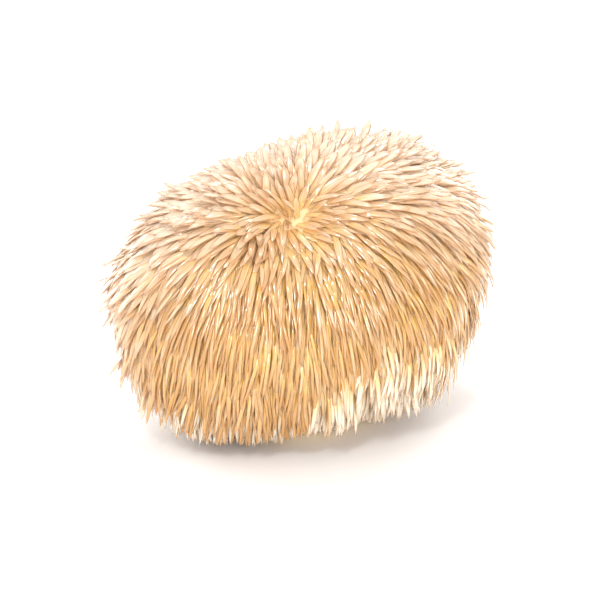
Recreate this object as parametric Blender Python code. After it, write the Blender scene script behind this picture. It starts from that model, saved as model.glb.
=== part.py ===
"""A picked lion's mane mushroom, lying on the cut face of its foot.

It grew as one piece: a rounded, bean-shaped mass of flesh, a short foot where it was cut off, and
spines that part at a crown high on the front and hang away from it on every side.

Metres, +Z up. The origin is the middle of the cut face, X runs along the mushroom's length, and
the crown faces -Y.
"""

import bmesh
import bpy
import numpy as np

# Driving dimensions. The flesh is the smooth union of three lobes and a foot, each an ellipsoid.
LEFT_CENTRE = (-0.0087, -0.0108, 0.0497)
LEFT_RADII = (0.0517, 0.0341, 0.0411)
RIGHT_CENTRE = (0.0407, 0.0102, 0.0586)
RIGHT_RADII = (0.0286, 0.0287, 0.0294)
MIDDLE_CENTRE = (0.0201, -0.0044, 0.0511)
MIDDLE_RADII = (0.0364, 0.0376, 0.0394)
FOOT_CENTRE = (0.0, 0.0, 0.0150)
FOOT_RADII = (0.0210, 0.0165, 0.0190)
LOBE_BLEND = 0.0080  # how softly one lobe runs into the next
HEART = (0.0070, -0.0040, 0.0460)  # every point of the skin is in sight of this one
NEAREST_SKIN = 0.005  # the skin is farther from the heart than this
FARTHEST_SKIN = 0.120  # and nearer than this
HALVINGS = 26
NORMAL_STEP = 0.0002

# The right side is raised off the surface, over a hollow that is an ellipsoid too.
HOLLOW_CENTRE = (0.0250, -0.0450, 0.0150)
HOLLOW_RADII = (0.0290, 0.0170, 0.0190)
HOLLOW_TURN = 0.45  # radians about Z, so that it follows the front edge
HOLLOW_BLEND = 0.0015

CROWN = (-0.0109, -0.0353, 0.0807)  # the spines part here
CROWN_WIDTH = 0.0090  # within this distance of it they stand up straighter
DIMPLE_DEPTH = 0.0030
DIMPLE_WIDTH = 0.0140

SPINE_LENGTH = 0.0140
SPINE_LENGTH_VARIES = 0.14
SHORT_AT_CROWN = 0.35  # a spine on the crown has this share of the length
LONGER_UNDER = 0.10  # a spine that grows straight down is longer by this share
SPINE_AWAY = 0.85  # how strongly a spine lies away from the crown
SPINE_DROOP = 0.65  # how strongly it hangs down
SPINE_LIFT = 0.50  # how strongly it stands off the skin
SPINE_OUTWARD = 0.05  # how strongly it leans away from the foot, level with the surface
LEAST_DROP = 0.01  # a flatter spine than this never comes down to the hem
FLOOR_GAP = 0.0006  # the lowest tips stop at a hem this far above the surface
RAISED_FROM = -0.0220  # right of this, the hem rises
RAISED_SLOPE = 0.25
RAISED_MOST = 0.0042
SHORT_NEAR_FOOT = 0.0160  # nearer the foot than this, spines are shorter
SHORTEST = 0.40  # the least share of its length that a spine keeps
BARE_FOOT = 0.0110  # the foot has no spines below this height

# Two faces grow between each three neighbouring seeds, and each face carries a spine.
SEEDS = 1640
SEED_JITTER = 0.012
SEED_STRETCH = (1.30, 1.0, 1.0)  # spreads the seeds evenly over the long shape

RANDOM_SEED = 7
FLESH_COLOUR = (0.86, 0.68, 0.43, 1.0)
FLESH_ROUGHNESS = 0.55


def unit(vectors):
    lengths = np.linalg.norm(vectors, axis=-1, keepdims=True)
    return vectors / np.maximum(lengths, 1e-9)


def outside_ellipsoid(points, centre, radii, turn=0.0):
    """Roughly how far each point is outside an ellipsoid turned about Z; negative inside it."""
    offsets = points - centre
    along = offsets[:, 0] * np.cos(turn) + offsets[:, 1] * np.sin(turn)
    across = offsets[:, 1] * np.cos(turn) - offsets[:, 0] * np.sin(turn)
    scaled = np.column_stack([along, across, offsets[:, 2]]) / radii
    return (np.linalg.norm(scaled, axis=1) - 1.0) * min(radii)


def outside_by(points):
    """Roughly how far each point is outside the flesh; negative inside it."""
    lobes = [(LEFT_CENTRE, LEFT_RADII), (RIGHT_CENTRE, RIGHT_RADII), (MIDDLE_CENTRE, MIDDLE_RADII)]
    lobes.append((FOOT_CENTRE, FOOT_RADII))
    each = np.array([outside_ellipsoid(points, centre, radii) for centre, radii in lobes])
    union = -LOBE_BLEND * np.log(np.exp(-each / LOBE_BLEND).sum(axis=0))
    hollow = outside_ellipsoid(points, HOLLOW_CENTRE, HOLLOW_RADII, HOLLOW_TURN)
    return HOLLOW_BLEND * np.logaddexp(union / HOLLOW_BLEND, -hollow / HOLLOW_BLEND)


def skin_normals(points):
    steps = NORMAL_STEP * np.eye(3)
    slopes = [outside_by(points + step) - outside_by(points - step) for step in steps]
    return unit(np.stack(slopes, axis=1))


def skin_along(directions):
    """Where the skin is along each direction from the heart, found by halving, with the crown's dimple."""
    near = np.full(len(directions), NEAREST_SKIN)
    far = np.full(len(directions), FARTHEST_SKIN)
    for _ in range(HALVINGS):
        middle = (near + far) / 2
        inside = outside_by(np.array(HEART) + directions * middle[:, None]) < 0
        near = np.where(inside, middle, near)
        far = np.where(inside, far, middle)
    points = np.array(HEART) + directions * near[:, None]
    from_crown = np.linalg.norm(points - CROWN, axis=1)
    sink = DIMPLE_DEPTH * np.exp(-((from_crown / DIMPLE_WIDTH) ** 2))
    return points - sink[:, None] * skin_normals(points)


def seed_directions(chance):
    """Directions spread evenly over a sphere on a golden spiral, each moved a little at random."""
    index = np.arange(SEEDS) + 0.5
    height = 1.0 - 2.0 * index / SEEDS
    turn = np.pi * (1.0 + 5.0**0.5) * index
    across = np.sqrt(1.0 - height**2)
    spiral = np.stack([across * np.cos(turn), across * np.sin(turn), height], axis=1)
    jittered = unit(spiral + chance.normal(0.0, SEED_JITTER, spiral.shape))
    return unit(jittered * SEED_STRETCH)


def spine_directions(roots, normals):
    """Which way each spine lies: away from the crown, down, and off the skin."""
    away = roots - np.array(CROWN)
    reach = np.linalg.norm(away, axis=1, keepdims=True)
    away = unit(away) * np.clip(reach / CROWN_WIDTH, 0.0, 1.0)
    away -= (away * normals).sum(axis=1, keepdims=True) * normals
    down = np.array([0.0, 0.0, -1.0]) + np.maximum(normals[:, 2:], 0.0) * normals
    return unit(SPINE_AWAY * away + SPINE_DROOP * down + SPINE_LIFT * normals)


def spine_tips(roots, chance):
    """The tip of each spine. Low ones end at the hem, and bend outwards where it is too near."""
    normals = skin_normals(roots)
    directions = spine_directions(roots, normals)
    lengths = SPINE_LENGTH * (1.0 + SPINE_LENGTH_VARIES * chance.uniform(-1.0, 1.0, len(roots)))
    from_foot = outside_ellipsoid(roots, FOOT_CENTRE, FOOT_RADII)
    lengths *= np.clip(from_foot / SHORT_NEAR_FOOT, SHORTEST, 1.0)
    lengths *= 1.0 + LONGER_UNDER * np.maximum(-normals[:, 2], 0.0)
    from_crown = np.linalg.norm(roots - CROWN, axis=1)
    lengths *= 1.0 - (1.0 - SHORT_AT_CROWN) * np.exp(-((from_crown / DIMPLE_WIDTH) ** 2))
    lowest = FLOOR_GAP + np.clip(RAISED_SLOPE * (roots[:, 0] - RAISED_FROM), 0.0, RAISED_MOST)
    room = (roots[:, 2] - lowest) / np.maximum(-directions[:, 2], LEAST_DROP)
    lengths = np.clip(room, SHORTEST * lengths, lengths)
    steepest = (lowest - roots[:, 2]) / lengths
    drop = np.maximum(directions[:, 2], np.minimum(steepest, 0.0))
    level = directions[:, :2] + SPINE_OUTWARD * unit(roots[:, :2])
    level = unit(level) * np.sqrt(1.0 - drop**2)[:, None]
    return roots + lengths[:, None] * np.column_stack([level, drop])


def flesh(chance):
    """The closed skin of the flesh, in triangles, with the foot cut off flat at Z = 0."""
    mesh = bmesh.new()
    directions = seed_directions(chance)
    for direction in directions:
        mesh.verts.new(direction)
    bmesh.ops.convex_hull(mesh, input=mesh.verts)
    mesh.verts.ensure_lookup_table()
    for vert, point in zip(mesh.verts, skin_along(directions)):
        vert.co = point
    everything = mesh.verts[:] + mesh.edges[:] + mesh.faces[:]
    bmesh.ops.bisect_plane(mesh, geom=everything, plane_co=(0, 0, 0), plane_no=(0, 0, 1), clear_inner=True)
    rim = [edge for edge in mesh.edges if edge.is_boundary]
    bmesh.ops.contextual_create(mesh, geom=rim)
    bmesh.ops.recalc_face_normals(mesh, faces=mesh.faces)
    return mesh


def raise_spines(mesh, chance):
    """Draws the middle of every face above the bare foot out into a spine."""
    spiny = [face for face in mesh.faces if face.calc_center_median().z > BARE_FOOT]
    middles = bmesh.ops.poke(mesh, faces=spiny)["verts"]
    tips = spine_tips(np.array([vert.co for vert in middles]), chance)
    for vert, tip in zip(middles, tips):
        vert.co = tip


def flesh_material():
    material = bpy.data.materials.new("mushroom_flesh")
    material.use_nodes = True
    surface = material.node_tree.nodes["Principled BSDF"]
    surface.inputs["Base Color"].default_value = FLESH_COLOUR
    surface.inputs["Roughness"].default_value = FLESH_ROUGHNESS
    surface.inputs["Metallic"].default_value = 0.0
    return material


def fruit_body():
    """The whole mushroom, which is one solid."""
    chance = np.random.default_rng(RANDOM_SEED)
    mesh = flesh(chance)
    raise_spines(mesh, chance)
    data = bpy.data.meshes.new("fruit_body")
    mesh.to_mesh(data)
    mesh.free()
    data.materials.append(flesh_material())
    body = bpy.data.objects.new("fruit_body", data)
    bpy.context.scene.collection.objects.link(body)
    return body


for leftover in list(bpy.data.objects):
    bpy.data.objects.remove(leftover, do_unlink=True)
fruit_body()
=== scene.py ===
"""A picked lion's mane mushroom on a white surface, in the light of a white studio.

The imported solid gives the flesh. Spines grow on it by Geometry Nodes, part at the crown, and hang
away from it on every side.
"""

import math

import bmesh
import bpy
import numpy as np
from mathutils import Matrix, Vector


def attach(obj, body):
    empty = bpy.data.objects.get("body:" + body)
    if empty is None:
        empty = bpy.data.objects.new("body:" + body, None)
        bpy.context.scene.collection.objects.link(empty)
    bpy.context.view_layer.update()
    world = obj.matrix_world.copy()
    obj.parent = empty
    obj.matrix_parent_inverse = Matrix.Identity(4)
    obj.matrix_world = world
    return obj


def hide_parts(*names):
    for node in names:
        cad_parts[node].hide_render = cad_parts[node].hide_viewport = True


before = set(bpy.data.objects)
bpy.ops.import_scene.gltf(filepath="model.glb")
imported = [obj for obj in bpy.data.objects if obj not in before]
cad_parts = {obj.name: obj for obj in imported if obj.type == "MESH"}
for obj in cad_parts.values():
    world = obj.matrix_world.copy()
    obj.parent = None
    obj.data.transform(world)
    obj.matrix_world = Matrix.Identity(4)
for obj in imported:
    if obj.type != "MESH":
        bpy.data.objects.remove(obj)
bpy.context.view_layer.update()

# Camera
# A long lens a little above the surface and to the left of the mushroom's front, which keeps both
# lobes nearly in proportion.

CAMERA_AZIMUTH = math.radians(-20.0)
CAMERA_ELEVATION = math.radians(18.0)
CAMERA_DISTANCE = 0.620
CAMERA_TARGET = Vector((0.0037, -0.0020, 0.0444))
PIXELS_PER_METRE = 2840.0  # at the target
PHOTO_WIDTH_PIXELS = 600.0
SENSOR_WIDTH_MM = 36.0

camera_data = bpy.data.cameras.new("camera")
camera_data.sensor_width = SENSOR_WIDTH_MM
camera_data.lens = SENSOR_WIDTH_MM * PIXELS_PER_METRE * CAMERA_DISTANCE / PHOTO_WIDTH_PIXELS
camera = bpy.data.objects.new("camera", camera_data)
bpy.context.scene.collection.objects.link(camera)
camera_back = Vector((
    math.sin(CAMERA_AZIMUTH) * math.cos(CAMERA_ELEVATION),
    -math.cos(CAMERA_AZIMUTH) * math.cos(CAMERA_ELEVATION),
    math.sin(CAMERA_ELEVATION),
))
camera.location = CAMERA_TARGET + camera_back * CAMERA_DISTANCE
camera.rotation_euler = camera_back.to_track_quat("Z", "Y").to_euler()
bpy.context.scene.camera = camera

# Flesh
# The solid, pale mass that the spines grow from, with the cut foot it rests on. It is the packed
# solid's own skin: the coarse spikes are taken off a copy, and what is left is rounded.

SAME_PLACE = 1e-6  # corners nearer than this are one
CUT_HEIGHT = 1e-5  # everything lower lies on the cut face
TIPS_ABOVE = 0.0004
ROUNDING_LEVELS = 1

FLESH_DARK = (0.94, 0.70, 0.38, 1.0)
FLESH_LIGHT = (0.96, 0.79, 0.48, 1.0)
FLESH_ROUGHNESS = 0.6
GRAIN_PER_METRE = 140.0
GRAIN_DETAIL = 4.0
GRAIN_STRENGTH = 0.4
GRAIN_DEPTH = 0.0006


def flesh_mesh():
    """The skin under the coarse spikes. A spike's tip is the one kind of corner with three edges."""
    mesh = bmesh.new()
    mesh.from_mesh(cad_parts["fruit_body"].data)
    bmesh.ops.remove_doubles(mesh, verts=mesh.verts, dist=SAME_PLACE)
    tips = [vert for vert in mesh.verts if len(vert.link_edges) == 3 and vert.co.z > TIPS_ABOVE]
    bmesh.ops.dissolve_verts(mesh, verts=tips)
    cut = [face for face in mesh.faces if max(vert.co.z for vert in face.verts) < CUT_HEIGHT]
    bmesh.ops.dissolve_faces(mesh, faces=cut)
    crease = mesh.edges.layers.float.new("crease_edge")
    for edge in mesh.edges:
        if max(vert.co.z for vert in edge.verts) < CUT_HEIGHT:
            edge[crease] = 1.0
    data = bpy.data.meshes.new("flesh")
    mesh.to_mesh(data)
    mesh.free()
    return data


def add_node(tree, kind, **settings):
    made = tree.nodes.new(kind)
    for name, value in settings.items():
        setattr(made, name, value)
    return made


def connect(tree, source, node, name):
    """Puts a socket, or a plain value, into a node's input."""
    socket = node.inputs[name]
    if isinstance(source, bpy.types.NodeSocket):
        tree.links.new(source, socket)
    else:
        socket.default_value = source
    return node


def flesh_material():
    """Pale, slightly rough flesh with a fine grain."""
    material = bpy.data.materials.new("mushroom_flesh")
    material.use_nodes = True
    tree = material.node_tree
    surface = tree.nodes["Principled BSDF"]
    place = add_node(tree, "ShaderNodeTexCoord")
    grain = add_node(tree, "ShaderNodeTexNoise")
    connect(tree, GRAIN_PER_METRE, grain, "Scale")
    connect(tree, GRAIN_DETAIL, grain, "Detail")
    connect(tree, place.outputs["Object"], grain, "Vector")
    ramp = add_node(tree, "ShaderNodeValToRGB")
    ramp.color_ramp.elements[0].color = FLESH_DARK
    ramp.color_ramp.elements[1].color = FLESH_LIGHT
    connect(tree, grain.outputs["Fac"], ramp, "Fac")
    connect(tree, ramp.outputs["Color"], surface, "Base Color")
    bump = add_node(tree, "ShaderNodeBump")
    connect(tree, GRAIN_STRENGTH, bump, "Strength")
    connect(tree, GRAIN_DEPTH, bump, "Distance")
    connect(tree, grain.outputs["Fac"], bump, "Height")
    connect(tree, bump.outputs["Normal"], surface, "Normal")
    connect(tree, FLESH_ROUGHNESS, surface, "Roughness")
    return material


flesh = bpy.data.objects.new("flesh", flesh_mesh())
bpy.context.scene.collection.objects.link(flesh)
rounding = flesh.modifiers.new("rounding", "SUBSURF")
rounding.levels = ROUNDING_LEVELS
rounding.render_levels = ROUNDING_LEVELS
flesh_evaluated = flesh.evaluated_get(bpy.context.evaluated_depsgraph_get())
rounded = bpy.data.meshes.new_from_object(flesh_evaluated)
flesh.modifiers.remove(rounding)
flesh.data = rounded
flesh.data.name = "flesh"
flesh.data.materials.clear()
flesh.data.materials.append(flesh_material())
flesh.data.shade_smooth()
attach(flesh, "root")
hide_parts("fruit_body")

# Spines
# The mushroom's soft, waxy teeth, all one with the flesh. They part at the crown and hang away from
# it. Each is a flat oval strand that comes to a point and bends: narrow and gold on the front, broad
# and cream behind, and white below. The darker gold of the front is painted shade, and the white
# below is painted light from the floor and from light shining through.

# How the spines lie on the skin, and how long they are.
CROWN = np.array((-0.0109, -0.0353, 0.0807))
CROWN_WIDTH = 0.0030
DIMPLE_WIDTH = 0.0140
SPINE_LENGTH = 0.0152
SHORT_AT_CROWN = 0.70  # a spine on the crown has this share of the length
LONGER_UNDER = 0.10  # a spine that grows straight down is longer by this share
SPINE_AWAY = 0.85  # how strongly a spine lies away from the crown
SPINE_DROOP = 0.65  # how strongly it hangs down
SPINE_LIFT = 0.40  # how strongly it stands off the skin
STANDS_AT_CROWN = 0.5  # and how much more so on the crown
STRAIGHTER_GOLD = 0.40  # gold spines lie less away from the crown and hang more, by this much
FLATTER_GOLD = 0.20
CREAM_LENGTH = 0.98  # a share of the length, to which gold spines add LONGER_GOLD
LONGER_GOLD = 0.35

# Nearer the foot than SHORT_NEAR_FOOT, spines are shorter, and the foot itself is bare.
BARE_FOOT = 0.0055
FOOT_CENTRE = np.array((0.0, 0.0, 0.0150))
FOOT_RADII = np.array((0.0210, 0.0165, 0.0190))
SHORT_NEAR_FOOT = 0.0160
SHORTEST = 0.45  # the least share of its length that a spine keeps

# The lowest tips end at a hem above the surface, which rises on the right.
FLOOR_GAP = 0.0006
HEM_VARIES = 0.0020
RAISED_FROM = -0.0220
RAISED_SLOPE = 0.25
RAISED_MOST = 0.0042
ARCH_MIDDLE = 0.0040  # the hem is a little higher about here along X
ARCH_WIDTH = 0.0180
ARCH_RISE = 0.0012

# The side that faces this way is painted a darker honey gold, as shade where it is turned from the
# light above and behind. The top, back and left are a lighter cream.
GOLD_SHADE_SIDE = np.array((-0.05, -0.90, -0.40))
GOLD_FROM = -0.10
GOLD_FULL = 0.80

# Under the raised right side is a hollow, where the spines hang nearly straight down. They are
# painted white there, as light from the floor and light shining through the hollow.
HOLLOW_CENTRE = np.array((0.0240, -0.0420, 0.0170))
HOLLOW_RADII = np.array((0.0360, 0.0240, 0.0290))
HOLLOW_TURN = 0.45  # radians about Z
HOLLOW_EDGE = 0.0060
HOLLOW_HANG = np.array((0.0, -0.15, -1.0))
# Spines that face this way are also painted white in part, as light from the floor.
FLOOR_LIT_SIDE = np.array((0.85, -0.20, -0.50))  # some of the spines that face this way are white too
WHITER_FROM = 0.40
WHITER_FULL = 0.90
WHITER_SHARE = 0.65
# Spines on skin that faces down are painted white, as light from the floor below.
UNDERSIDE_FROM = 0.34  # how steeply the skin faces down where spines begin to be white
UNDERSIDE_FULL = 0.72
WHITE_UNDER = 0.85
THINNER_WHITE = 0.45  # this share of the white spines is left out
GOLD_ENDS_ABOVE = 0.0042  # the gold and cream spines end this far above the white ones

# Widths, as shares of the usual one, and how untidy the spines are.
CREAM_WIDTH = 1.62
GOLD_NARROWER = 0.85
PETALS_REACH = 0.030  # on the cream side, spines this near the crown are wider still
PETALS_WIDER = 0.6
WHITE_WIDTH = 1.15
NEATER_GOLD = 0.50
MESSIER_CROWN = 1.6


def unit(vectors):
    return vectors / np.maximum(np.linalg.norm(vectors, axis=-1, keepdims=True), 1e-9)


def ease(values, start, full):
    """Rises smoothly from 0 at the start to 1 where it is full."""
    share = np.clip((values - start) / (full - start), 0.0, 1.0)
    return share * share * (3.0 - 2.0 * share)


def bell(distances, width):
    """1 in the middle, and next to nothing beyond twice the width."""
    return np.exp(-((distances / width) ** 2))


def inside_hollow(points):
    """How far each point is inside the hollow, roughly; negative outside it."""
    offsets = points - HOLLOW_CENTRE
    turned = np.column_stack([
        offsets[:, 0] * math.cos(HOLLOW_TURN) + offsets[:, 1] * math.sin(HOLLOW_TURN),
        offsets[:, 1] * math.cos(HOLLOW_TURN) - offsets[:, 0] * math.sin(HOLLOW_TURN),
        offsets[:, 2],
    ])
    return (1.0 - np.linalg.norm(turned / HOLLOW_RADII, axis=1)) * HOLLOW_RADII.min()


def corners_and_normals(mesh):
    both = []
    for name in ("co", "normal"):
        values = np.empty(len(mesh.vertices) * 3)
        mesh.vertices.foreach_get(name, values)
        both.append(values.reshape(-1, 3))
    return both


def write_flow(mesh):
    """Stores how a spine at each corner of the skin lies, how long it is and where it ends."""
    roots, normals = corners_and_normals(mesh)
    from_crown = np.linalg.norm(roots - CROWN, axis=1)
    # The gold share paints shade: a darker honey on the side turned from the light.
    gold = ease(normals @ unit(GOLD_SHADE_SIDE), GOLD_FROM, GOLD_FULL)
    hollow = np.clip(inside_hollow(roots) / HOLLOW_EDGE + 0.5, 0.0, 1.0)
    underside = ease(-normals[:, 2], UNDERSIDE_FROM, UNDERSIDE_FULL)
    # This white share is painted light, from the floor below and through the hollow.
    lit_pale = np.maximum(hollow, WHITE_UNDER * underside)

    away = unit(roots - CROWN) * np.clip(from_crown / CROWN_WIDTH, 0.0, 1.0)[:, None]
    away -= (away * normals).sum(axis=1, keepdims=True) * normals
    down = np.array([0.0, 0.0, -1.0]) + np.maximum(normals[:, 2:], 0.0) * normals
    lie = (SPINE_AWAY - STRAIGHTER_GOLD * gold)[:, None] * away
    lie += (SPINE_DROOP + STRAIGHTER_GOLD * gold)[:, None] * down
    lift = SPINE_LIFT - FLATTER_GOLD * gold + STANDS_AT_CROWN * bell(from_crown, CROWN_WIDTH)
    lie = unit(lie + lift[:, None] * normals)
    lie = unit(lie * (1.0 - hollow[:, None]) + hollow[:, None] * HOLLOW_HANG)

    near_foot = (np.linalg.norm((roots - FOOT_CENTRE) / FOOT_RADII, axis=1) - 1.0) * FOOT_RADII.min()
    reach = SPINE_LENGTH * np.clip(near_foot / SHORT_NEAR_FOOT, SHORTEST, 1.0)
    reach *= 1.0 + LONGER_UNDER * np.maximum(-normals[:, 2], 0.0)
    reach *= 1.0 - (1.0 - SHORT_AT_CROWN) * bell(from_crown, DIMPLE_WIDTH)
    reach *= CREAM_LENGTH + LONGER_GOLD * gold

    hem = FLOOR_GAP + np.clip(RAISED_SLOPE * (roots[:, 0] - RAISED_FROM), 0.0, RAISED_MOST)
    hem += ARCH_RISE * bell(roots[:, 0] - ARCH_MIDDLE, ARCH_WIDTH)
    hem += GOLD_ENDS_ABOVE * (1.0 - lit_pale)

    wide = CREAM_WIDTH - GOLD_NARROWER * gold
    wide += PETALS_WIDER * bell(from_crown, PETALS_REACH) * (1.0 - gold)
    wide += (WHITE_WIDTH - wide) * hollow
    mess = 1.0 - NEATER_GOLD * gold + MESSIER_CROWN * bell(from_crown, DIMPLE_WIDTH)
    # Spines facing down and to the right get painted white too, as light from the floor.
    whiter = WHITER_SHARE * ease(normals @ unit(FLOOR_LIT_SIDE), WHITER_FROM, WHITER_FULL)
    lit_pale = np.maximum(lit_pale, whiter)

    mesh.attributes.new("lie", "FLOAT_VECTOR", "POINT").data.foreach_set("vector", lie.ravel())
    flow = {"reach": reach, "hem": hem, "lit_pale": lit_pale, "gold": gold, "wide": wide, "mess": mess}
    for name, values in flow.items():
        mesh.attributes.new(name, "FLOAT", "POINT").data.foreach_set("value", values)


# The shape of one spine. Its line is a curve from the root past a bend to the tip.
SPINE_SPACING = 0.00130
SPINE_HALF_WIDTH = 0.00105
SPINE_FLATNESS = 0.28
SPINE_SIDES = 8
SPINE_RINGS = 6
SPINE_SAG = 7.0  # per metre: a long spine bends back towards the skin, which curves away under it
RINGS_TO_TIP = 1.4  # above 1, the rings are closer together near the tip
BEND_LIFT = 0.4  # how far the bend stands off the skin, beside how far it lies along the spine
BEND_AT = 0.45  # how far out the bend is, as a share of the spine's length
BLUNT_CREAM = 4.0  # a higher power keeps the width for longer before the tip
BLUNT_LESS_GOLD = 1.2
TAPER_POWER = 0.8
ROOT_WIDTH = 0.55
WIDER_TO_TIP = 0.75
TIP_WIDTH = 0.03

# How they vary. Each draw has a seed of its own.
SECTORS = 9
SPINE_SEED = 5
THINNING_SEED = 71
STRAY_SEED = 11
LENGTH_SEED = 21
HEM_SEED = 61
TONE_SEED = 31
WHITE_SEED = 51
THICKNESS_SEED = 41
SPINES_PER_SQUARE_METRE = 2.0e6  # far more than the spacing leaves room for
TUFTS_PER_METRE = 110.0
TUFT_LEAN = 1.5
STRAY = 0.24
LEAST_LENGTH = 0.692
MOST_LENGTH = 1.14
LEAST_THICKNESS = 0.65
MOST_THICKNESS = 1.3
LEAST_FALL = 0.01  # a flatter spine than this never comes down to the hem
WHITE_CONTRAST = 5.0  # high enough that most spines are either white or not


def spine_tree(material):
    """The node tree that grows the spines of one sector on the skin."""
    tree = bpy.data.node_groups.new("spine_growth", "GeometryNodeTree")
    tree.is_modifier = True
    sockets = tree.interface
    sockets.new_socket("Skin", in_out="INPUT", socket_type="NodeSocketGeometry")
    spacing = sockets.new_socket("Spacing", in_out="INPUT", socket_type="NodeSocketFloat")
    spacing.default_value = SPINE_SPACING
    half_width = sockets.new_socket("Half Width", in_out="INPUT", socket_type="NodeSocketFloat")
    half_width.default_value = SPINE_HALF_WIDTH
    sockets.new_socket("Sector", in_out="INPUT", socket_type="NodeSocketInt")
    sockets.new_socket("Spines", in_out="OUTPUT", socket_type="NodeSocketGeometry")
    given = add_node(tree, "NodeGroupInput").outputs
    result = add_node(tree, "NodeGroupOutput")

    def number(operation, first, second=0.0, third=0.0):
        node = add_node(tree, "ShaderNodeMath", operation=operation)
        for index, value in enumerate((first, second, third)):
            connect(tree, value, node, index)
        return node.outputs[0]

    def vector(operation, first, second=(0.0, 0.0, 0.0)):
        node = add_node(tree, "ShaderNodeVectorMath", operation=operation)
        connect(tree, first, node, 0)
        connect(tree, second, node, 1)
        return node.outputs["Vector"]

    def scaled(first, scale):
        node = add_node(tree, "ShaderNodeVectorMath", operation="SCALE")
        connect(tree, first, node, 0)
        connect(tree, scale, node, "Scale")
        return node.outputs["Vector"]

    def chance(seed, low, high):
        node = add_node(tree, "FunctionNodeRandomValue", data_type="FLOAT")
        node.inputs[2].default_value = low
        node.inputs[3].default_value = high
        connect(tree, seed, node, "Seed")
        return node.outputs[1]

    def read(name, kind="FLOAT"):
        node = add_node(tree, "GeometryNodeInputNamedAttribute", data_type=kind)
        connect(tree, name, node, "Name")
        return node.outputs["Attribute"]

    def store(geometry, name, value, kind="FLOAT"):
        node = add_node(tree, "GeometryNodeStoreNamedAttribute", data_type=kind, domain="POINT")
        connect(tree, geometry, node, "Geometry")
        connect(tree, name, node, "Name")
        connect(tree, value, node, "Value")
        return node.outputs["Geometry"]

    def split(value):
        node = add_node(tree, "ShaderNodeSeparateXYZ")
        connect(tree, value, node, 0)
        return node.outputs

    here = add_node(tree, "GeometryNodeInputPosition").outputs[0]

    # Roots, spread evenly over the skin above the bare foot.
    scatter = add_node(tree, "GeometryNodeDistributePointsOnFaces", distribute_method="POISSON")
    connect(tree, given["Skin"], scatter, "Mesh")
    connect(tree, number("GREATER_THAN", split(here)["Z"], BARE_FOOT), scatter, "Selection")
    connect(tree, given["Spacing"], scatter, "Distance Min")
    connect(tree, SPINES_PER_SQUARE_METRE, scatter, "Density Max")
    connect(tree, SPINE_SEED, scatter, "Seed")
    points = store(scatter.outputs["Points"], "skin_normal", scatter.outputs["Normal"], "FLOAT_VECTOR")

    # Only those of this sector are kept, and the white ones are thinned.
    turn = number("ARCTAN2", split(here)["Y"], split(here)["X"])
    turn = number("MULTIPLY_ADD", turn, SECTORS / math.tau, SECTORS / 2.0)
    turn = number("WRAP", turn, float(SECTORS), 0.0)
    other = number("SUBTRACT", 1.0, number("COMPARE", number("FLOOR", turn), given["Sector"], 0.1))
    white_share = number("MULTIPLY", read("lit_pale"), THINNER_WHITE)
    thinned = number("LESS_THAN", chance(THINNING_SEED, 0.0, 1.0), white_share)
    drop = add_node(tree, "GeometryNodeDeleteGeometry", domain="POINT")
    connect(tree, points, drop, "Geometry")
    connect(tree, number("MAXIMUM", other, thinned), drop, "Selection")
    points = drop.outputs["Geometry"]

    # Tufts lean together, and each spine strays a little by itself.
    tuft = add_node(tree, "ShaderNodeTexNoise", noise_dimensions="3D")
    connect(tree, here, tuft, "Vector")
    connect(tree, TUFTS_PER_METRE, tuft, "Scale")
    connect(tree, 1.0, tuft, "Detail")
    tuft_lean = vector("SUBTRACT", tuft.outputs["Color"], (0.5, 0.5, 0.5))
    stray = add_node(tree, "FunctionNodeRandomValue", data_type="FLOAT_VECTOR")
    stray.inputs[0].default_value = (-1.0, -1.0, -1.0)
    stray.inputs[1].default_value = (1.0, 1.0, 1.0)
    connect(tree, STRAY_SEED, stray, "Seed")
    aim = read("lie", "FLOAT_VECTOR")
    aim = vector("ADD", aim, scaled(tuft_lean, number("MULTIPLY", read("mess"), TUFT_LEAN)))
    aim = vector("ADD", aim, scaled(stray.outputs[0], number("MULTIPLY", read("mess"), STRAY)))
    aim = vector("NORMALIZE", aim)

    # No spine is longer than the way down to the hem.
    reach = number("MULTIPLY", read("reach"), chance(LENGTH_SEED, LEAST_LENGTH, MOST_LENGTH))
    points = store(points, "hem", number("ADD", read("hem"), chance(HEM_SEED, 0.0, HEM_VARIES)))
    fall = number("MAXIMUM", number("MULTIPLY", split(aim)["Z"], -1.0), LEAST_FALL)
    room = number("DIVIDE", number("SUBTRACT", split(here)["Z"], read("hem")), fall)
    room = number("MAXIMUM", room, number("MULTIPLY", reach, SHORTEST))
    points = store(points, "root", here, "FLOAT_VECTOR")
    points = store(points, "aim", aim, "FLOAT_VECTOR")
    points = store(points, "long", number("MINIMUM", reach, room))

    # What sets one spine apart from the next.
    points = store(points, "tone", chance(TONE_SEED, 0.0, 1.0))
    # A spine is painted white by chance, most often where the white stands for light from the floor
    # and through the hollow.
    over = number("SUBTRACT", read("lit_pale"), chance(WHITE_SEED, 0.0, 1.0))
    whiter = number("MULTIPLY_ADD", over, WHITE_CONTRAST, 0.5)
    points = store(points, "white", number("MINIMUM", number("MAXIMUM", whiter, 0.0), 1.0))
    thickness = chance(THICKNESS_SEED, LEAST_THICKNESS, MOST_THICKNESS)
    points = store(points, "thick", number("MULTIPLY", thickness, read("wide")))

    # One straight line for each root.
    line = add_node(tree, "GeometryNodeCurvePrimitiveLine")
    connect(tree, (0.0, 0.0, 1.0), line, "End")
    rings = add_node(tree, "GeometryNodeResampleCurve")
    connect(tree, line.outputs["Curve"], rings, "Curve")
    connect(tree, SPINE_RINGS, rings, "Count")
    instances = add_node(tree, "GeometryNodeInstanceOnPoints")
    connect(tree, points, instances, "Points")
    connect(tree, rings.outputs["Curve"], instances, "Instance")
    realized = add_node(tree, "GeometryNodeRealizeInstances")
    connect(tree, instances.outputs["Instances"], realized, "Geometry")

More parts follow.
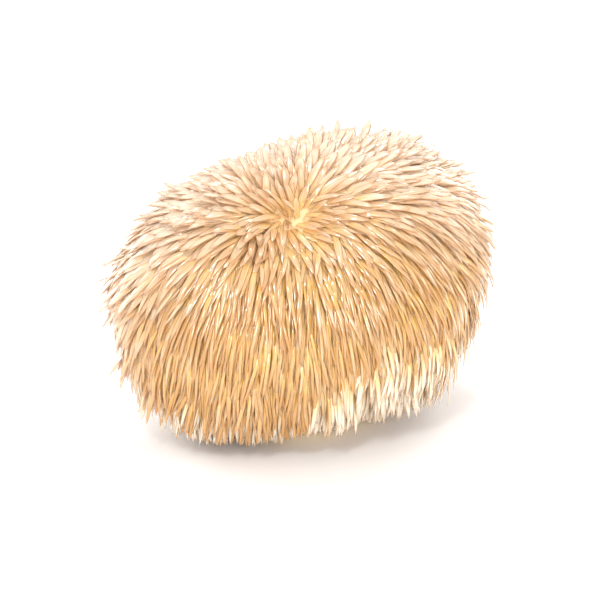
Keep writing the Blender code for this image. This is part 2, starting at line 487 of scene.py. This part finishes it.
    # The line is bent from the root, past the bend, to the tip, and is kept above the hem.
    even = add_node(tree, "GeometryNodeSplineParameter").outputs["Factor"]
    left = number("POWER", number("SUBTRACT", 1.0, even), RINGS_TO_TIP)
    curves = store(realized.outputs["Geometry"], "along", number("SUBTRACT", 1.0, left))
    along = read("along")
    skin_normal = read("skin_normal", "FLOAT_VECTOR")
    bend = vector("ADD", read("aim", "FLOAT_VECTOR"), scaled(skin_normal, BEND_LIFT))
    bend = scaled(vector("NORMALIZE", bend), number("MULTIPLY", read("long"), BEND_AT))
    sag = number("MULTIPLY", number("MULTIPLY", read("long"), read("long")), -SPINE_SAG)
    tip = scaled(read("aim", "FLOAT_VECTOR"), read("long"))
    tip = vector("ADD", tip, scaled(skin_normal, sag))
    bend_share = number("MULTIPLY", number("MULTIPLY", along, number("SUBTRACT", 1.0, along)), 2.0)
    tip_share = number("MULTIPLY", along, along)
    bent = vector("ADD", scaled(bend, bend_share), scaled(tip, tip_share))
    bent = split(vector("ADD", bent, read("root", "FLOAT_VECTOR")))
    above_hem = add_node(tree, "ShaderNodeCombineXYZ")
    connect(tree, bent["X"], above_hem, "X")
    connect(tree, bent["Y"], above_hem, "Y")
    connect(tree, number("MAXIMUM", bent["Z"], read("hem")), above_hem, "Z")
    place = add_node(tree, "GeometryNodeSetPosition")
    connect(tree, curves, place, "Geometry")
    connect(tree, above_hem.outputs[0], place, "Position")
    facing = add_node(tree, "GeometryNodeSetCurveNormal", mode="FREE")
    connect(tree, place.outputs["Geometry"], facing, "Curve")
    connect(tree, skin_normal, facing, "Normal")

    # A leaf-like width, greatest beyond the middle.
    blunt = number("MULTIPLY_ADD", read("gold"), -BLUNT_LESS_GOLD, BLUNT_CREAM)
    taper = number("SUBTRACT", 1.0, number("POWER", along, blunt))
    taper = number("POWER", number("MAXIMUM", taper, 0.0), TAPER_POWER)
    taper = number("MULTIPLY", taper, number("MULTIPLY_ADD", along, WIDER_TO_TIP, ROOT_WIDTH))
    taper = number("MAXIMUM", taper, TIP_WIDTH)
    girth = number("MULTIPLY", number("MULTIPLY", given["Half Width"], read("thick")), taper)
    curves = store(facing.outputs["Curve"], "girth", girth)

    # A flat oval is drawn along each line. It keeps how far each side is from the middle.
    circle = add_node(tree, "GeometryNodeCurvePrimitiveCircle")
    connect(tree, SPINE_SIDES, circle, "Resolution")
    connect(tree, 1.0, circle, "Radius")
    oval = add_node(tree, "GeometryNodeTransform")
    connect(tree, store(circle.outputs["Curve"], "across", split(here)["Y"]), oval, "Geometry")
    connect(tree, (SPINE_FLATNESS, 1.0, 1.0), oval, "Scale")
    tube = add_node(tree, "GeometryNodeCurveToMesh")
    connect(tree, curves, tube, "Curve")
    connect(tree, read("girth"), tube, "Scale")
    connect(tree, oval.outputs["Geometry"], tube, "Profile Curve")
    connect(tree, True, tube, "Fill Caps")
    smooth = add_node(tree, "GeometryNodeSetShadeSmooth")
    connect(tree, tube.outputs["Mesh"], smooth, "Geometry")
    whole = add_node(tree, "GeometryNodeRealizeInstances")
    connect(tree, smooth.outputs["Geometry"], whole, "Geometry")
    paint = add_node(tree, "GeometryNodeSetMaterial")
    connect(tree, whole.outputs["Geometry"], paint, "Geometry")
    connect(tree, material, paint, "Material")
    connect(tree, paint.outputs["Geometry"], result, "Spines")
    return tree


# The gold colours are painted shade: a darker honey on the front, turned from the light.
GOLD_ROOT = (0.95, 0.56, 0.14, 1.0)
GOLD_TIP = (0.60, 0.30, 0.065, 1.0)
CREAM_ROOT = (0.97, 0.73, 0.48, 1.0)
CREAM_TIP = (0.86, 0.67, 0.50, 1.0)
# The white spines are painted light: white where light from the floor and through the hollow falls.
WHITE_ROOT = (0.96, 0.62, 0.24, 1.0)
WHITE_TIP = (0.92, 0.82, 0.66, 1.0)
BROWN_EDGE = (0.48, 0.22, 0.08, 1.0)

# Where each colour begins and is full, and how much of it there is then.
# The gold and cream spines are painted lighter at the root than at the tip, as light in the gaps
# between spines.
TIP_COLOUR = (0.22, 0.75)
WHITE_TIP_COLOUR = (0.35, 0.90)
PALER_SPINES = (0.65, 1.0)
PALER_MOST = 0.22
# Pale lines along the spines are painted highlights, streaks where wet ridges would catch the lamps.
HIGHLIGHT_LINES = (0.54, 0.62)
HIGHLIGHT_LINES_MOST = 0.32
BROWN_LINES = (0.46, 0.38)
BROWN_LINES_MOST = 0.26
# Brown along each spine's edges is painted shade, where the blades overlap and shade one another.
EDGE_SHADE_FROM_MIDDLE = (0.68, 0.94)
EDGE_SHADE_ALONG = (0.36, 0.68)
EDGE_SHADE_MOST = 0.85
BROWN_TIP = (0.82, 0.98)
BROWN_TIP_MOST = 0.50
LINES_ACROSS = 5.0
LINES_ALONG = 1.2
LINES_APART = 97.0  # a spine's tone times this puts its lines in a place of their own

SPINE_ROUGHNESS = 0.28
SCATTERED_SHARE = 0.4
SCATTER_BY_COLOUR = (1.0, 0.85, 0.7)
SCATTER_DEPTH = 0.0006
WET_ROUGHNESS = 0.13
WET_IOR = 2.0


def spine_material():
    """Waxy spines with a wet gloss, brown tips and fine brown lines along them.
    Pale lines along them are painted highlights, and their brown edges are painted shade where they
    overlap.
    """
    material = bpy.data.materials.new("mushroom_spines")
    material.use_nodes = True
    tree = material.node_tree
    surface = tree.nodes["Principled BSDF"]

    def read(name):
        return add_node(tree, "ShaderNodeAttribute", attribute_name=name).outputs["Fac"]

    def number(operation, first, second=0.0):
        node = add_node(tree, "ShaderNodeMath", operation=operation)
        connect(tree, first, node, 0)
        connect(tree, second, node, 1)
        return node.outputs[0]

    def band(source, ends):
        node = add_node(tree, "ShaderNodeMapRange", interpolation_type="SMOOTHSTEP")
        connect(tree, source, node, "Value")
        connect(tree, ends[0], node, "From Min")
        connect(tree, ends[1], node, "From Max")
        return node.outputs["Result"]

    def mix(share, first, second):
        node = add_node(tree, "ShaderNodeMix", data_type="RGBA")
        connect(tree, share, node, 0)
        connect(tree, first, node, 6)
        connect(tree, second, node, 7)
        return node.outputs[2]

    spread = add_node(tree, "ShaderNodeCombineXYZ")
    connect(tree, number("MULTIPLY", read("across"), LINES_ACROSS), spread, "X")
    connect(tree, number("MULTIPLY", read("along"), LINES_ALONG), spread, "Y")
    connect(tree, number("MULTIPLY", read("tone"), LINES_APART), spread, "Z")
    lines = add_node(tree, "ShaderNodeTexNoise", noise_dimensions="3D")
    connect(tree, 1.0, lines, "Scale")
    connect(tree, 2.0, lines, "Detail")
    connect(tree, spread.outputs[0], lines, "Vector")
    lines = lines.outputs["Fac"]

    # The lighter roots are painted light in the gaps between spines.
    gold = mix(band(read("along"), TIP_COLOUR), GOLD_ROOT, GOLD_TIP)
    cream = mix(band(read("along"), TIP_COLOUR), CREAM_ROOT, CREAM_TIP)
    white = mix(band(read("along"), WHITE_TIP_COLOUR), WHITE_ROOT, WHITE_TIP)
    # Gold over cream is painted shade on the front and lower side.
    colour = mix(read("gold"), cream, gold)
    # White spines are painted light from the floor and through the hollow.
    colour = mix(read("white"), colour, white)
    # Painted shade along the spine's edges, from the middle of the spine out to the tip.
    edge_shade = number("ABSOLUTE", read("across"))
    edge_shade = number("MULTIPLY", band(edge_shade, EDGE_SHADE_FROM_MIDDLE), band(read("along"), EDGE_SHADE_ALONG))
    for share, most, laid_over in (
        (band(read("tone"), PALER_SPINES), PALER_MOST, white),
        # painted highlights: pale streaks along each spine
        (band(lines, HIGHLIGHT_LINES), HIGHLIGHT_LINES_MOST, WHITE_TIP),
        (band(lines, BROWN_LINES), BROWN_LINES_MOST, BROWN_EDGE),
        # painted shade along the edges
        (edge_shade, EDGE_SHADE_MOST, BROWN_EDGE),
        (band(read("along"), BROWN_TIP), BROWN_TIP_MOST, BROWN_EDGE),
    ):
        colour = mix(number("MULTIPLY", share, most), colour, laid_over)
    connect(tree, colour, surface, "Base Color")
    connect(tree, SPINE_ROUGHNESS, surface, "Roughness")
    connect(tree, 0.0, surface, "Specular IOR Level")
    connect(tree, SCATTERED_SHARE, surface, "Subsurface Weight")
    connect(tree, SCATTER_BY_COLOUR, surface, "Subsurface Radius")
    connect(tree, SCATTER_DEPTH, surface, "Subsurface Scale")

    gloss = add_node(tree, "ShaderNodeBsdfAnisotropic")
    connect(tree, WET_ROUGHNESS, gloss, "Roughness")
    wet = add_node(tree, "ShaderNodeFresnel")
    connect(tree, WET_IOR, wet, "IOR")
    waxy = add_node(tree, "ShaderNodeMixShader")
    connect(tree, wet.outputs["Fac"], waxy, "Fac")
    connect(tree, surface.outputs["BSDF"], waxy, 1)
    connect(tree, gloss.outputs["BSDF"], waxy, 2)
    connect(tree, waxy.outputs["Shader"], tree.nodes["Material Output"], "Surface")
    return material


# The spines grow on a second copy of the skin, which is taken away again.
skin = bpy.data.objects.new("skin", flesh.data.copy())
bpy.context.scene.collection.objects.link(skin)
write_flow(skin.data)
grower = skin.modifiers.new("spines", "NODES")
grower.node_group = spine_tree(spine_material())
inputs = {socket.name: socket.identifier for socket in grower.node_group.interface.items_tree}
spine_pieces = []
for sector in range(SECTORS):
    grower[inputs["Sector"]] = sector
    skin.update_tag()
    grown = skin.evaluated_get(bpy.context.evaluated_depsgraph_get())
    mesh = bpy.data.meshes.new_from_object(grown)
    piece = bpy.data.objects.new(f"spines_{sector + 1}", mesh)
    bpy.context.scene.collection.objects.link(piece)
    spine_pieces.append(piece)
bpy.data.objects.remove(skin)
for piece in spine_pieces:
    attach(piece, "root")
    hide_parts("fruit_body")

# Studio
# A matt white surface under soft light from every side. Small lamps put bright points on the wet
# spines, and broad ones fill the front and the back.

FLOOR_HALF_SIZE = 4.0
FLOOR_COLOUR = (0.98, 0.955, 0.935, 1.0)
FLOOR_ROUGHNESS = 0.9
ROOM_STRENGTH = 0.80
OVERHEAD_STRENGTH = 0.30
OVERHEAD_SPREAD = 2.2  # radians, so that its shadows have no edge
OVERHEAD_FROM = Vector((-0.5, 0.2, 1.0))

floor_mesh = bpy.data.meshes.new("floor")
corner_signs = ((-1, -1), (1, -1), (1, 1), (-1, 1))
floor_corners = [(x * FLOOR_HALF_SIZE, y * FLOOR_HALF_SIZE, 0.0) for x, y in corner_signs]
floor_mesh.from_pydata(floor_corners, [], [(0, 1, 2, 3)])
floor = bpy.data.objects.new("floor", floor_mesh)
bpy.context.scene.collection.objects.link(floor)
floor_material = bpy.data.materials.new("floor")
floor_material.use_nodes = True
floor_tree = floor_material.node_tree
floor_surface = floor_tree.nodes["Principled BSDF"]
connect(floor_tree, FLOOR_COLOUR, floor_surface, "Base Color")
connect(floor_tree, FLOOR_ROUGHNESS, floor_surface, "Roughness")
connect(floor_tree, 0.0, floor_surface, "Specular IOR Level")
floor_mesh.materials.append(floor_material)

world = bpy.data.worlds.new("studio")
world.use_nodes = True
room = world.node_tree.nodes["Background"]
connect(world.node_tree, (1.0, 1.0, 1.0, 1.0), room, "Color")
connect(world.node_tree, ROOM_STRENGTH, room, "Strength")
bpy.context.scene.world = world
bpy.context.scene.view_settings.view_transform = "Standard"

overhead = bpy.data.objects.new("overhead", bpy.data.lights.new("overhead", "SUN"))
overhead.data.energy = OVERHEAD_STRENGTH
overhead.data.angle = OVERHEAD_SPREAD
overhead.rotation_euler = OVERHEAD_FROM.to_track_quat("Z", "Y").to_euler()
bpy.context.scene.collection.objects.link(overhead)


def lamp(name, place, size, watts):
    """A round lamp that points at the mushroom."""
    light = bpy.data.lights.new(name, "AREA")
    light.shape = "DISK"
    light.size = size
    light.energy = watts
    made = bpy.data.objects.new(name, light)
    made.location = place
    made.rotation_euler = (Vector(place) - CAMERA_TARGET).to_track_quat("Z", "Y").to_euler()
    bpy.context.scene.collection.objects.link(made)


lamp("left_sparkle", place=(-0.45, -0.75, 0.95), size=0.20, watts=3.6)
lamp("top_sparkle", place=(0.16, 0.12, 1.0), size=0.15, watts=1.3)
lamp("right_sparkle", place=(0.75, -0.70, 0.45), size=0.25, watts=1.6)
lamp("front_fill", place=(-0.20, -0.72, 0.26), size=0.30, watts=2.2)
lamp("back_left_fill", place=(-0.70, 0.75, 0.55), size=0.60, watts=5.0)
lamp("back_right_fill", place=(0.80, 0.65, 0.55), size=0.60, watts=5.0)
